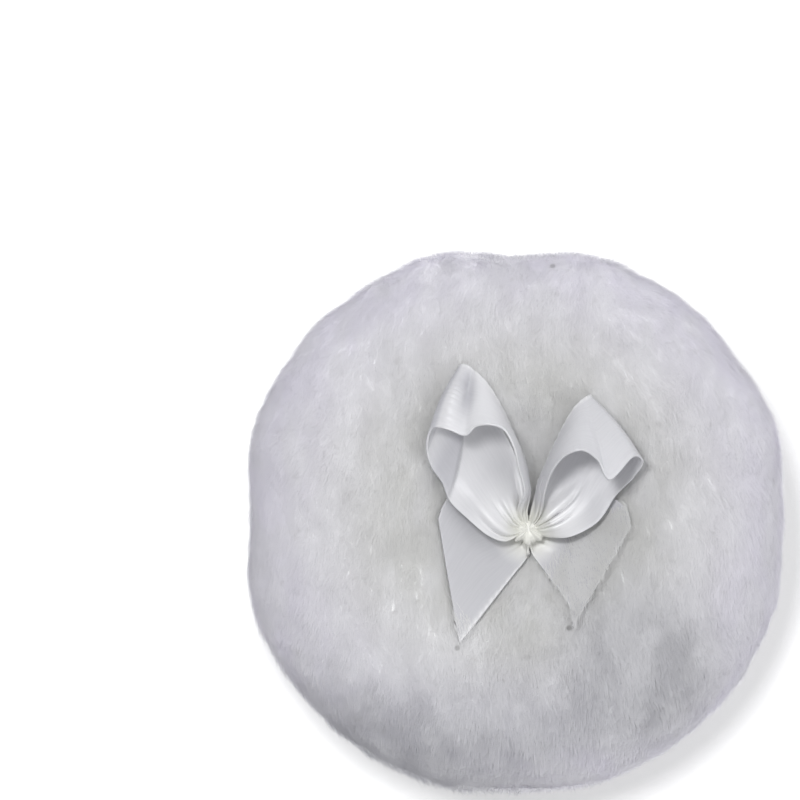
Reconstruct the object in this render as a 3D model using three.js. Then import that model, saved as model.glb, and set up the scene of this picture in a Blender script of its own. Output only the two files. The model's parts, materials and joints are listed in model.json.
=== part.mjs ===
// A round plush powder puff with a satin ribbon bow tacked to the middle of its upper side.
// Millimetres, +Z up. The origin is the middle of the underside, on the surface that the puff lies on.
// Seen from above, +Y points away from the viewer and +X to the viewer's right.

import * as THREE from 'three';
import { mergeVertices } from 'three/addons/utils/BufferGeometryUtils.js';

// Puff
const puffAcross = 90;
const puffFrontToBack = 91;
const cornerFullness = 1.7;      // how much further out the outline stands between its flatter sides
const flatTurn = 20;             // degrees to each side of the middle of each of the four flatter sides
const crownHeight = 28;
const crownRadius = 27;          // ring round the bow where the upper side is highest
const dimpleHeight = 19.6;       // lowest place of the upper side, where the bow is tacked down
const rimHeight = 11.5;          // height of the side seam
const restRadius = 30;           // outer edge of the flat underside
const backDimpleRadius = 8;
const backDimpleDepth = 3;
const coverThickness = 5.5;      // backing cloth and pile together
const roundRadius = 30;          // inside this radius round the bow the upper side is truly round
const shoulderPower = 2.3;       // 2 is an ellipse, more is a fuller shoulder
const seamGrooveDepth = 1.5;
const seamGrooveWidth = 3.2;

// Threads
const seamThreadDiameter = 0.6;
const seamWaves = 10;
const seamWaveHeight = 0.25;
const closingThreadDiameter = 0.4;
const closingStitchWidth = 0.8;  // up and down across the seam
const closingStitchPitch = 1.2;
const closingStitches = 9;
const closingAngle = 82;         // degrees round from the right, where the closing stitches lie
const anchorThreadDiameter = 1;
const anchorHoleDiameter = 1.8;
const anchorKnotDiameter = 3;
const anchorKnotHeight = 2.2;
const bindingThreadDiameter = 0.35;
const bindingTurns = 3;
const bindingPitch = 0.8;

// Bow
const bowRight = 1.8;            // the bow is tacked a little right of the middle of the puff
const bowFront = 3;              // and a little in front of it
const ribbonWidth = 15;
const ribbonThickness = 0.35;
const ribbonBulge = 0.7;
const knotWaistRadius = 1.4;
const knotEndRadius = 1.9;
const knotLength = 4.6;
const knotPleatDepth = 0.2;
const knotPleats = 8;
const knotWaistLength = 2.9;
const knotCapLength = 0.5;
const loopRise = 14;             // height that the loops' upright shares are taken from
const leftLoopReach = 26;
const rightLoopReach = 22;
const leftTailReach = 22.5;
const rightTailReach = 18.3;

// Fits
const clearance = 0.3;
const restBlend = 0.5;           // how softly a ribbon that would dip into the plush comes to lie on it

// Facets
const puffSegments = 40;
const dimpleSteps = 7;
const shoulderSteps = 7;
const backDimpleSteps = 3;
const threadSides = 6;
const stepsPerTurn = 24;
const stepsPerStitch = 4;
const ballSegments = 12;
const knotSteps = 10;
const loopSteps = 34;
const tailSteps = 12;
const ribbonStrips = 6;

// Ribbon edges, as shares chosen by hand. Each row is one line across the ribbon, from the knot on:
// along, across and up for the far edge, then the same for the near edge. Along is a share of the
// loop's reach, across of the ribbon's width, and up of the loops' rise.
const rightLoopShares = [
  [0.14, -0.11, 0.09, 0.13, 0.01, 0.13],
  [0.30, -0.23, 0.19, 0.29, -0.12, 0.46],
  [0.44, -0.29, 0.34, 0.41, -0.17, 0.74],
  [0.62, -0.36, 0.45, 0.53, -0.15, 0.92],
  [0.78, -0.41, 0.52, 0.63, -0.04, 0.98],
  [0.92, -0.43, 0.55, 0.65, 0.15, 0.93],
  [0.99, -0.42, 0.54, 0.59, 0.38, 0.87],
  [1.03, -0.40, 0.48, 0.85, 0.42, 0.84],
  [1.01, -0.39, 0.39, 0.88, 0.52, 0.66],
  [0.83, -0.37, 0.34, 0.76, 0.54, 0.52],
  [0.61, -0.30, 0.26, 0.60, 0.51, 0.39],
  [0.41, -0.22, 0.16, 0.36, 0.54, 0.28],
  [0.24, -0.15, 0.06, 0.14, 0.40, 0.14],
  [0.15, -0.07, -0.02, 0.06, 0.25, -0.02],
];
const leftLoopShares = [
  [0.12, -0.09, 0.09, 0.11, 0.01, 0.13],
  [0.21, -0.21, 0.19, 0.19, -0.13, 0.45],
  [0.31, -0.29, 0.32, 0.33, -0.19, 0.70],
  [0.44, -0.33, 0.44, 0.45, -0.24, 0.91],
  [0.57, -0.35, 0.52, 0.57, -0.23, 0.99],
  [0.72, -0.37, 0.58, 0.63, -0.13, 1.01],
  [0.88, -0.37, 0.59, 0.67, 0.01, 0.94],
  [0.99, -0.34, 0.58, 0.66, 0.15, 0.86],
  [1.05, -0.31, 0.54, 0.74, 0.27, 0.84],
  [1.09, -0.23, 0.47, 0.81, 0.41, 0.73],
  [1.06, -0.22, 0.40, 0.74, 0.55, 0.59],
  [0.90, -0.26, 0.36, 0.62, 0.61, 0.49],
  [0.72, -0.28, 0.31, 0.51, 0.59, 0.40],
  [0.51, -0.29, 0.26, 0.39, 0.61, 0.36],
  [0.32, -0.23, 0.14, 0.25, 0.54, 0.27],
  [0.18, -0.12, 0.04, 0.08, 0.42, 0.14],
  [0.13, -0.04, -0.02, 0.01, 0.29, -0.01],
];

// Tail edges, the same way but with no height, because the tails lie on the plush:
// along and across for the outer edge, then for the long inner edge. The last row is the cut end.
const leftTailShares = [
  [0.17, 0.04, 0.13, -0.09],
  [0.20, 0.20, 0.31, -0.14],
  [0.25, 0.42, 0.48, -0.14],
  [0.30, 0.64, 0.66, -0.13],
  [0.34, 0.84, 1.00, -0.11],
];
const rightTailShares = [
  [0.18, 0.07, 0.19, -0.03],
  [0.22, 0.27, 0.45, -0.02],
  [0.26, 0.52, 0.66, 0.01],
  [0.31, 0.76, 0.82, 0.02],
  [0.36, 0.99, 1.00, 0.01],
];

// Directions of the ribbons seen from above, in degrees round from the right
const rightLoopAngle = 50;
const leftLoopAngle = 120;
const leftTailAngle = 236;
const rightTailAngle = 291;

// Worked out
const halfAcross = puffAcross / 2;
const halfFrontToBack = puffFrontToBack / 2;
const anchorHoleRadius = anchorHoleDiameter / 2;
const bowCentre = new THREE.Vector2(bowRight, -bowFront);
const bindingRadius = knotWaistRadius + clearance + bindingThreadDiameter / 2;
const bindingBottom = bindingRadius + bindingThreadDiameter / 2;
const bowHeight = dimpleHeight + clearance + bindingBottom;
const anchorKnotTop = backDimpleDepth - clearance;

const plush = new THREE.MeshStandardMaterial({ color: 0xe2e2e6, roughness: 1, metalness: 0 });
const satin = new THREE.MeshStandardMaterial({ color: 0xf0f0f2, roughness: 0.4, metalness: 0 });
const thread = new THREE.MeshStandardMaterial({ color: 0xf2f2ee, roughness: 0.7, metalness: 0 });
const fibre = new THREE.MeshStandardMaterial({ color: 0xf7f7f7, roughness: 1, metalness: 0 });

const object = new THREE.Group();

function addMesh(name, geometry, material) {
  const mesh = new THREE.Mesh(geometry, material.clone());
  mesh.name = name;
  object.add(mesh);
}

function smoothStep(from, to, value) {
  const t = THREE.MathUtils.clamp((value - from) / (to - from), 0, 1);
  return t * t * (3 - 2 * t);
}

// Closed meshes

// Keeps only the places, joins those that meet, and turns the faces outward.
function closed(geometry) {
  const bare = new THREE.BufferGeometry();
  bare.setAttribute('position', geometry.getAttribute('position').clone());
  if (geometry.index) bare.setIndex(geometry.index.clone());
  const merged = mergeVertices(bare);
  const place = merged.getAttribute('position');
  const index = Array.from(merged.index.array);
  const corners = [new THREE.Vector3(), new THREE.Vector3(), new THREE.Vector3()];
  const kept = [];
  let volume = 0;
  for (let i = 0; i < index.length; i += 3) {
    const face = index.slice(i, i + 3);
    if (new Set(face).size < 3) continue;
    face.forEach((vertex, n) => corners[n].fromBufferAttribute(place, vertex));
    volume += corners[0].dot(corners[1].clone().cross(corners[2]));
    kept.push(face);
  }
  merged.setIndex(kept.flatMap((face) => (volume < 0 ? [face[0], face[2], face[1]] : face)));
  merged.computeVertexNormals();
  return merged;
}

// A tube along points, round and closed at both ends, or joined to itself.
function tube(points, diameter, steps, joined = false) {
  const path = new THREE.CatmullRomCurve3(points, joined, 'centripetal');
  const radius = diameter / 2;
  const frames = path.computeFrenetFrames(steps, joined);
  const positions = [];
  const index = [];
  const rings = joined ? steps : steps + 1;
  for (let i = 0; i < rings; i += 1) {
    const centre = path.getPointAt(i / steps);
    for (let j = 0; j < threadSides; j += 1) {
      const turn = (2 * Math.PI * j) / threadSides;
      const place = centre.clone();
      place.addScaledVector(frames.normals[i], radius * Math.cos(turn));
      place.addScaledVector(frames.binormals[i], radius * Math.sin(turn));
      positions.push(place.x, place.y, place.z);
    }
  }
  for (let i = 0; i < steps; i += 1) {
    for (let j = 0; j < threadSides; j += 1) {
      const a = i * threadSides + j;
      const b = i * threadSides + ((j + 1) % threadSides);
      const c = ((i + 1) % rings) * threadSides + j;
      const d = ((i + 1) % rings) * threadSides + ((j + 1) % threadSides);
      index.push(a, b, c, b, d, c);
    }
  }
  if (!joined) {
    for (let j = 1; j < threadSides - 1; j += 1) {
      const last = steps * threadSides;
      index.push(0, j + 1, j, last, last + j, last + j + 1);
    }
  }
  const geometry = new THREE.BufferGeometry();
  geometry.setAttribute('position', new THREE.Float32BufferAttribute(positions, 3));
  geometry.setIndex(index);
  return closed(geometry);
}

// Puff

// Moves a place of the round puff to its real place: round the bow near the middle, and round the
// puff's own centre, with its soft corners, at the rim.
function settle(place) {
  const radius = Math.hypot(place.x, place.y);
  const turn = Math.atan2(place.y, place.x);
  const outward = smoothStep(roundRadius, halfAcross, radius);
  const turnFromSide = Math.asin(Math.abs(Math.sin(2 * turn))) / 2;
  const corner = cornerFullness * smoothStep(0, THREE.MathUtils.degToRad(flatTurn), turnFromSide);
  const outline = halfAcross + (halfFrontToBack - halfAcross) * Math.sin(turn) ** 2 + corner;
  const reach = radius * (1 + outward * (outline / halfAcross - 1));
  place.x = bowCentre.x * (1 - outward) + reach * Math.cos(turn);
  place.y = bowCentre.y * (1 - outward) + reach * Math.sin(turn);
  return place;
}

// Height of the upper side at a distance from the bow, out to the crown.
function dimpleSurface(radius) {
  const t = Math.min(radius / crownRadius, 1);
  return dimpleHeight + ((crownHeight - dimpleHeight) * (1 - Math.cos(Math.PI * t))) / 2;
}

// A quarter of a full oval, from its side at share 0 to its top or bottom at share 1.
function shoulder(centreRadius, centreHeight, width, height, share) {
  const angle = (share * Math.PI) / 2;
  const power = 2 / shoulderPower;
  const radius = centreRadius + width * Math.cos(angle) ** power;
  return new THREE.Vector2(radius, centreHeight + height * Math.sin(angle) ** power);
}

function upperLine() {
  const points = [];
  for (let i = 0; i <= dimpleSteps; i += 1) {
    const radius = THREE.MathUtils.lerp(anchorHoleRadius, crownRadius, i / dimpleSteps);
    points.push(new THREE.Vector2(radius, dimpleSurface(radius)));
  }
  for (let i = shoulderSteps - 1; i >= 0; i -= 1) {
    const rise = crownHeight - rimHeight;
    points.push(shoulder(crownRadius, rimHeight, halfAcross - crownRadius, rise, i / shoulderSteps));
  }
  return points;
}

function lowerLine() {
  const points = [];
  for (let i = 0; i <= backDimpleSteps; i += 1) {
    const t = i / backDimpleSteps;
    const radius = THREE.MathUtils.lerp(anchorHoleRadius, backDimpleRadius, t);
    points.push(new THREE.Vector2(radius, (backDimpleDepth * (1 + Math.cos(Math.PI * t))) / 2));
  }
  for (let i = shoulderSteps; i >= 0; i -= 1) {
    const width = halfAcross - restRadius;
    points.push(shoulder(restRadius, rimHeight, width, -rimHeight, i / shoulderSteps));
  }
  return points;
}

// The same line, a distance further in; its first point stays over the hole, its last in the seam.
function insetLine(line, distance, inwardTurn) {
  return line.map((point, i) => {
    const before = line[Math.max(i - 1, 0)];
    const after = line[Math.min(i + 1, line.length - 1)];
    const along = after.clone().sub(before).normalize();
    const inward = new THREE.Vector2(along.y * inwardTurn, -along.x * inwardTurn);
    const moved = point.clone().addScaledVector(inward, distance);
    if (i === 0) moved.x = point.x;
    if (i === line.length - 1) moved.set(point.x - distance, point.y);
    return moved;
  });
}

// Turns a closed outline of radius and height into a ring, and settles it into the puff.
function turned(outline) {
  const geometry = new THREE.LatheGeometry([...outline, outline[0].clone()], puffSegments);
  geometry.rotateX(Math.PI / 2);
  const place = geometry.getAttribute('position');
  const point = new THREE.Vector3();
  for (let i = 0; i < place.count; i += 1) {
    settle(point.fromBufferAttribute(place, i));
    place.setXYZ(i, point.x, point.y, point.z);
  }
  return closed(geometry);
}

// One plush cover: its outer line, the groove at the seam, its seam face, and its inner line back.
function cover(line, inwardTurn) {
  const inner = insetLine(line, coverThickness, inwardTurn);
  const seamFace = rimHeight + (inwardTurn * clearance) / 2;
  const lip = rimHeight + (inwardTurn * seamGrooveWidth) / 2;
  line[line.length - 1].y = lip;
  line.push(new THREE.Vector2(halfAcross - seamGrooveDepth, seamFace));
  inner[inner.length - 1].y = seamFace;
  return turned([...line, ...inner.reverse()]);
}

function fillingPad() {
  const inset = coverThickness + clearance;
  const wall = halfAcross - inset - seamThreadDiameter - seamWaveHeight - clearance;
  const upper = insetLine(upperLine(), inset, 1);
  const lower = insetLine(lowerLine(), inset, -1).reverse();
  const outline = [...upper, ...lower.slice(1)];
  outline.forEach((point) => {
    point.x = Math.min(point.x, wall);
  });
  return turned(outline);
}

function rimSeamThread() {
  const radius = halfAcross - coverThickness - clearance - seamThreadDiameter / 2;
  const points = [];
  for (let i = 0; i < puffSegments; i += 1) {
    const turn = (2 * Math.PI * i) / puffSegments;
    const wave = seamWaveHeight * Math.sin(turn * seamWaves);
    const place = new THREE.Vector3(radius * Math.cos(turn), radius * Math.sin(turn), rimHeight + wave);
    points.push(settle(place));
  }
  return tube(points, seamThreadDiameter, puffSegments * 2, true);
}

// The stitches that close the gap through which the puff was turned and filled. They cross the
// seam to and fro in its groove, clear of both walls.
function closingStitchThread() {
  const slope = (2 * seamGrooveDepth) / seamGrooveWidth;
  const wall = halfAcross - seamGrooveDepth + (slope * closingStitchWidth) / 2;
  const offWall = (clearance + closingThreadDiameter / 2) * Math.hypot(1, slope);
  const radius = wall + offWall;
  const points = [];
  for (let i = 0; i <= closingStitches; i += 1) {
    const along = (i - closingStitches / 2) * closingStitchPitch;
    const turn = THREE.MathUtils.degToRad(closingAngle) + along / halfAcross;
    const height = rimHeight + ((i % 2 ? 1 : -1) * closingStitchWidth) / 2;
    const place = new THREE.Vector3(radius * Math.cos(turn), radius * Math.sin(turn), height);
    points.push(settle(place));
  }
  return tube(points, closingThreadDiameter, closingStitches * stepsPerStitch);
}

function anchorKnot() {
  const geometry = new THREE.SphereGeometry(1, ballSegments, ballSegments / 2);
  geometry.rotateX(Math.PI / 2);
  geometry.scale(anchorKnotDiameter / 2, anchorKnotDiameter / 2, anchorKnotHeight / 2);
  geometry.translate(bowCentre.x, bowCentre.y, anchorKnotTop - anchorKnotHeight / 2);
  return closed(geometry);
}

function anchorThread() {
  const bottom = anchorKnotTop + clearance;
  const top = bowHeight - bindingBottom - clearance;
  const radius = anchorThreadDiameter / 2;
  const geometry = new THREE.CylinderGeometry(radius, radius, top - bottom, ballSegments);
  geometry.rotateX(Math.PI / 2);
  geometry.translate(bowCentre.x, bowCentre.y, (top + bottom) / 2);
  return closed(geometry);
}

// Bow

// The gathered middle of the ribbon: a bobbin lying from left to right, drawn in at its waist.
function bowKnot() {
  const half = knotLength / 2;
  const capStart = half - knotCapLength;
  const outline = [];
  for (let i = 0; i <= knotSteps; i += 1) {
    const along = -half * Math.cos((Math.PI * i) / knotSteps);
    const reach = Math.abs(along);
    const flare = smoothStep(knotWaistLength / 2, capStart, reach);
    const cap = Math.max(reach - capStart, 0) / knotCapLength;
    const radius = THREE.MathUtils.lerp(knotWaistRadius, knotEndRadius, flare);
    outline.push(new THREE.Vector2(radius * Math.sqrt(Math.max(1 - cap * cap, 0)), along));
  }
  const geometry = new THREE.LatheGeometry(outline, knotPleats * 4);
  const place = geometry.getAttribute('position');
  for (let i = 0; i < place.count; i += 1) {
    const turn = Math.atan2(place.getZ(i), place.getX(i));
    const radius = Math.hypot(place.getX(i), place.getZ(i));
    const fold = (knotPleatDepth * (1 + Math.cos(knotPleats * turn))) / 2;
    const drawnIn = radius * (1 - fold / knotEndRadius);
    place.setXYZ(i, drawnIn * Math.cos(turn), place.getY(i), drawnIn * Math.sin(turn));
  }
  geometry.rotateZ(-Math.PI / 2);
  geometry.translate(bowCentre.x, bowCentre.y, bowHeight);
  return closed(geometry);
}

function bindingThread() {
  const steps = bindingTurns * stepsPerTurn;
  const length = bindingTurns * bindingPitch;
  const points = [];
  for (let i = 0; i <= steps; i += 1) {
    const turn = (2 * Math.PI * i) / stepsPerTurn;
    points.push(new THREE.Vector3(
      bowCentre.x + length * (i / steps - 1 / 2),
      bowCentre.y + bindingRadius * Math.cos(turn),
      bowHeight + bindingRadius * Math.sin(turn),
    ));
  }
  let least = Infinity;
  for (let i = 0; i <= steps; i += 1) {
    for (let j = i + stepsPerTurn / 2; j <= steps; j += 1) {
      least = Math.min(least, points[i].distanceTo(points[j]) - bindingThreadDiameter);
    }
  }
  console.log(`binding thread: least gap to itself ${least.toFixed(2)} mm`);
  return tube(points, bindingThreadDiameter, steps);
}

// A closed strip of ribbon, half its thickness to each side of a grid of places.
function ribbonSolid(grid) {
  const rows = grid.length;
  const columns = grid[0].length;
  const positions = [];
  const index = [];
  const normals = grid.map((row, i) => row.map((place, j) => {
    const along = grid[Math.min(i + 1, rows - 1)][j].clone().sub(grid[Math.max(i - 1, 0)][j]);
    const across = row[Math.min(j + 1, columns - 1)].clone().sub(row[Math.max(j - 1, 0)]);
    return along.cross(across).normalize();
  }));
  for (const face of [1, -1]) {
    grid.forEach((row, i) => row.forEach((place, j) => {
      const moved = place.clone().addScaledVector(normals[i][j], (face * ribbonThickness) / 2);
      positions.push(moved.x, moved.y, moved.z);
    }));
  }
  const back = rows * columns;
  const at = (i, j) => i * columns + j;
  const panel = (a, b, c, d) => index.push(a, b, c, a, c, d);
  for (let i = 0; i < rows - 1; i += 1) {
    for (let j = 0; j < columns - 1; j += 1) {
      const [a, b, c, d] = [at(i, j), at(i + 1, j), at(i + 1, j + 1), at(i, j + 1)];
      panel(a, b, c, d);
      panel(back + d, back + c, back + b, back + a);
    }
    const [a, b] = [at(i, 0), at(i + 1, 0)];
    const [c, d] = [at(i, columns - 1), at(i + 1, columns - 1)];
    panel(b, a, back + a, back + b);
    panel(c, d, back + d, back + c);
  }
  for (let j = 0; j < columns - 1; j += 1) {
    const [a, b] = [at(0, j), at(0, j + 1)];
    const [c, d] = [at(rows - 1, j), at(rows - 1, j + 1)];
    panel(a, b, back + b, back + a);
    panel(d, c, back + c, back + d);
  }
  const geometry = new THREE.BufferGeometry();
  geometry.setAttribute('position', new THREE.Float32BufferAttribute(positions, 3));
  geometry.setIndex(index);
  return closed(geometry);
}

// A place of the bow from its shares: along the ribbon's direction and across it to one side.
function bowPlace(ribbon, alongShare, acrossShare, rise) {
  const angle = THREE.MathUtils.degToRad(ribbon.angle);
  const along = alongShare * ribbon.reach;
  const across = acrossShare * ribbonWidth * ribbon.side;
  return new THREE.Vector3(
    bowCentre.x + along * Math.cos(angle) + across * Math.sin(angle),
    bowCentre.y + along * Math.sin(angle) - across * Math.cos(angle),
    rise,
  );
}

function lieOnPlush(place) {
  const radius = Math.hypot(place.x - bowCentre.x, place.y - bowCentre.y);
  const lowest = dimpleSurface(radius) + clearance + ribbonThickness / 2;
  const above = place.z - lowest;
  place.z = lowest + (above + Math.hypot(above, restBlend)) / 2;
  return place;
}

// Rows across a ribbon between its two edge curves, bulged a little where the ribbon is wide.
function ribbonGrid(ribbon, steps, bulge) {
  const far = ribbon.rows.map((row) => row.far);
  const near = ribbon.rows.map((row) => row.near);
  const farEdge = new THREE.CatmullRomCurve3(far, false, 'centripetal');
  const nearEdge = new THREE.CatmullRomCurve3(near, false, 'centripetal');
  const grid = [];
  for (let i = 0; i <= steps; i += 1) {
    const a = farEdge.getPoint(i / steps);
    const b = nearEdge.getPoint(i / steps);
    const ahead = farEdge.getTangent(i / steps).add(nearEdge.getTangent(i / steps));
    const outward = ahead.cross(b.clone().sub(a)).normalize();
    const width = a.distanceTo(b) / ribbonWidth;
    const row = [];
    for (let j = 0; j <= ribbonStrips; j += 1) {
      const across = j / ribbonStrips;
      const place = a.clone().lerp(b, across);
      place.addScaledVector(outward, bulge * width * Math.sin(Math.PI * across));
      row.push(lieOnPlush(place));
    }
    grid.push(row);
  }
  return grid;
}

function loop(angle, side, reach, shares) {
  const ribbon = { angle, side, reach };
  ribbon.rows = shares.map(([farAlong, farAcross, farUp, nearAlong, nearAcross, nearUp]) => ({
    far: bowPlace(ribbon, farAlong, farAcross, bowHeight + farUp * loopRise),
    near: bowPlace(ribbon, nearAlong, nearAcross, bowHeight + nearUp * loopRise),
  }));
  return ribbonSolid(ribbonGrid(ribbon, loopSteps, -side * ribbonBulge));
}

function tail(angle, side, reach, shares) {
  const ribbon = { angle, side, reach };
  ribbon.rows = shares.map(([farAlong, farAcross, nearAlong, nearAcross]) => ({
    far: bowPlace(ribbon, farAlong, farAcross, dimpleHeight),
    near: bowPlace(ribbon, nearAlong, nearAcross, dimpleHeight),
  }));
  return ribbonSolid(ribbonGrid(ribbon, tailSteps, 0));
}

addMesh('top_cover', cover(upperLine(), 1), plush);
addMesh('bottom_cover', cover(lowerLine(), -1), plush);
addMesh('filling_pad', fillingPad(), fibre);
addMesh('rim_seam_thread', rimSeamThread(), thread);
addMesh('closing_stitch_thread', closingStitchThread(), thread);
addMesh('anchor_thread', anchorThread(), thread);
addMesh('anchor_knot', anchorKnot(), thread);
addMesh('bow_knot', bowKnot(), satin);
addMesh('binding_thread', bindingThread(), thread);
addMesh('left_loop', loop(leftLoopAngle, -1, leftLoopReach, leftLoopShares), satin);
addMesh('right_loop', loop(rightLoopAngle, 1, rightLoopReach, rightLoopShares), satin);
addMesh('left_tail', tail(leftTailAngle, 1, leftTailReach, leftTailShares), satin);
addMesh('right_tail', tail(rightTailAngle, -1, rightTailReach, rightTailShares), satin);

export default object;
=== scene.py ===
"""A round plush powder puff with a satin ribbon bow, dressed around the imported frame.

Metres, +Z up. Seen from above, +Y points away from the viewer and +X to the viewer's right.
"""

import json
import math

import bpy
import numpy as np
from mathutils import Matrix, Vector
from mathutils.bvhtree import BVHTree


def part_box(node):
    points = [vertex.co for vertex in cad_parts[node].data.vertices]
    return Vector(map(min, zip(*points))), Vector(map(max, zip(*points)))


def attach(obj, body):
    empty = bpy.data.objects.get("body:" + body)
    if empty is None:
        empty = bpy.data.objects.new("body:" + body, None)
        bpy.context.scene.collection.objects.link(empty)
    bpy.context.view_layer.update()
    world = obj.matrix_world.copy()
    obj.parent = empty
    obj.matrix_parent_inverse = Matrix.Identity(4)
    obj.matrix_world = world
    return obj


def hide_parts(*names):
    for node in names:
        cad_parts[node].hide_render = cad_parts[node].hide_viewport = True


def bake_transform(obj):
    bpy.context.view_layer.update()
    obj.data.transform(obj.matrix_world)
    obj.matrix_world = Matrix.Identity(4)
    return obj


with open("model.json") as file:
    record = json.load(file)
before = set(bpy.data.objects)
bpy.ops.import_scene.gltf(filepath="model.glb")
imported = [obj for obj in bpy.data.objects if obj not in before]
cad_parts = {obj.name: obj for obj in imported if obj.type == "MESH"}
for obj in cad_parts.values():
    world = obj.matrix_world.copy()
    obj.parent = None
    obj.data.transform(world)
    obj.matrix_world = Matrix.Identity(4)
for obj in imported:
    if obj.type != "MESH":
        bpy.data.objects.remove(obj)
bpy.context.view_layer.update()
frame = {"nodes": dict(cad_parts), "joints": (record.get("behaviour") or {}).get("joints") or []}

MM = 0.001

# The puff, from the frame and as drawn in the part's source
top_low, top_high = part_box("top_cover")
HALF_ACROSS = (top_high.x - top_low.x) / 2
HALF_FRONT_TO_BACK = (top_high.y - top_low.y) / 2
CROWN_HEIGHT = top_high.z
CORNER_FULLNESS = 1.7 * MM
FLAT_TURN = math.radians(20)
OUTLINE_DRIFT = (-0.42 * MM, 0.75 * MM)
CROWN_RADIUS = 27 * MM
DIMPLE_HEIGHT = 19.6 * MM
RIM_HEIGHT = 11.5 * MM
REST_RADIUS = 30 * MM
BACK_DIMPLE_RADIUS = 8 * MM
BACK_DIMPLE_DEPTH = 3 * MM
ROUND_RADIUS = 30 * MM
HOLE_RADIUS = 0.9 * MM
COVER_THICKNESS = 5.5 * MM
SEAM_GROOVE_DEPTH = 0.8 * MM
SEAM_GROOVE_WIDTH = 3.2 * MM
SHOULDER_POWER = 2.3

# Each cover: its side of the puff, the rows of its mesh, and the count and seed of its strands
COVERS = [("top_cover", 1, 150, 240000, 101), ("bottom_cover", -1, 130, 110000, 103)]
COVER_TURNS = 300
GROUND_TURNS = 420
DIMPLE_STEPS = 200
BACK_DIMPLE_STEPS = 100
SHOULDER_STEPS = 400

# The bow
joints = {joint["name"]: joint for joint in frame["joints"]}
BOW = np.array(joints["bow_twist"]["pos_m"])
LOOP_RISE = 14 * MM
RIBBON_WIDTH = 15 * MM
RIBBON_THICKNESS = 0.3 * MM
RIBBON_BULGE = 0.7 * MM
RIBBON_COLUMNS = 72
CLEARANCE = 0.3 * MM
TAIL_CLEARANCE = -0.35 * MM
REST_BLEND = 0.5 * MM

# The thicker woven edges, with the dots of their weave
SELVEDGE_WIDTH = 0.5 * MM
SELVEDGE_STAND = 0.9
SELVEDGE_PITCH = 1.4 * MM
SELVEDGE_DOTS = 0.25

# The gathers: how many cross the ribbon, and where they rise and fade as distances from the knot
PLEATS = 4.5
LOOP_PLEAT_DEPTH = 0.45 * MM
TAIL_PLEAT_DEPTH = 0.22 * MM
PLEAT_RISE = (0.5 * MM, 2.5 * MM)
PLEAT_FADE = (2.5 * MM, 9.5 * MM)
PLEAT_START = 0.35
PLEAT_SHARPNESS = 0.8
PLEAT_WARP = 0.05
FINE_PLEATS = 1.7
FINE_PLEAT_SHARE = 0.4

# The ridge across the left loop carries fine wrinkles
WRINKLED_RISE = 0.4 * MM
WRINKLE_HEIGHT = 0.075 * MM
WRINKLE_PITCH = 0.09
WRINKLE_WANDER = 0.35
WRINKLE_WAVES = 13

# The lower layer of each loop billows: between which shares of its length, and across its width
LOBE_RISE = 1.9 * MM
LOBE_START = (0.68, 0.82)
LOBE_END = (0.9, 1)
LOBE_PEAK = 0.66
LOBE_POWER = 1.5
LOBE_DROP = 0.6
LOBE_DROP_PLACE = (0.7, 1.05)

# The left loop's leaf, which folds along a line between two places given as row and across
LEAF_FOLD = ((12.55, 0.45), (13.5, 0.85))
LEAF_BLEND = 0.05
LEAF_RISE = 1.1 * MM
LEAF_START_ROWS = 1.6
LEAF_END_ROWS = (0.2, 0.8)

# The knot's pleated middle, the thread wound round it and the thread's knot under the puff
GATHER_RADIUS = 2.2 * MM
GATHER_STRETCH = 1.35
GATHER_TOP = 1.1 * MM
GATHER_BOTTOM = 1.6 * MM
GATHER_DEPTH = 0.4 * MM
GATHER_PLEATS = (7, 10, 13)
GATHER_SEED = 21
GATHER_RINGS = 60
GATHER_TURNS = 360
GATHER_POLE = 0.02
GATHER_SIDE_POWER = 0.8
GATHER_RIDGE_POWER = 0.7
GATHER_RIDGE_SHARE = 0.6
GATHER_GROOVE = 0.4 * MM
GATHER_GROOVE_DEPTH = 0.25 * MM
BINDING_TURNS = 3
BINDING_PITCH = 0.24 * MM
BINDING_DIAMETER = 0.22 * MM
BINDING_SUNK = 0.5 * MM
BINDING_TURN_STEPS = 40
KNOT_TURNS = 5
KNOT_THREAD = 0.26
KNOT_COIL = 0.28
KNOT_FLATNESS = 0.75
KNOT_TURN_STEPS = 120

# The pile, whose strands are narrow blades
PILE_HEIGHT = 1.2 * MM
SECTORS = 4
STRAND_LENGTH = 3.2 * MM
LENGTH_SPREAD = 0.12
LENGTH_LIMITS = (0.6, 1.4)
STRAND_WIDTH = 0.11 * MM
WIDTH_SPREAD = 0.15
MIDDLE_WIDTH = 0.8
ROOT_DEPTH = 0.3 * MM
FLOOR_GAP = 0.1 * MM
# How far a strand's shading leans to its two sides, so that it looks round
STRAND_ROUND = 0.06
# How steeply a strand rises, in degrees with limits in radians, and how much of that its tip has
RISE = 21
RISE_SPREAD = 5
RISE_LIMITS = (0.1, 1.3)
TIP_RISE = (0.1, 0.5)

# The way the nap lies: towards the viewer, with waves of a size, a seed and a strength
NAP = np.array([0.12, -1.0, 0.0])
NAP_WAVES = [(11 * MM, 51, 0.34), (3.2 * MM, 61, 0.28)]
NAP_OUTWARD = 0.25
NAP_DOWN = 0.5
NAP_SPREAD = 0.16

# The ground's lumps, each with a size, a seed and a share, which are lower near the bow
LUMPS = [(9 * MM, 11, 0.5), (4.2 * MM, 23, 0.35), (1.7 * MM, 37, 0.15)]
LUMP_HEIGHT = 0.6 * MM
LEVEL_GROUND = (12 * MM, 26 * MM)
LEVEL_SHARE = 0.2

# The pile under the ribbon, which is looked for from below each strand
RIBBONS_REACH = 32 * MM
LOOK_BELOW = 2 * MM
LOOK_LENGTH = 8 * MM
PRESSED_GAP = 0.2 * MM
PRESSED_HEIGHT = 0.1 * MM

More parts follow.
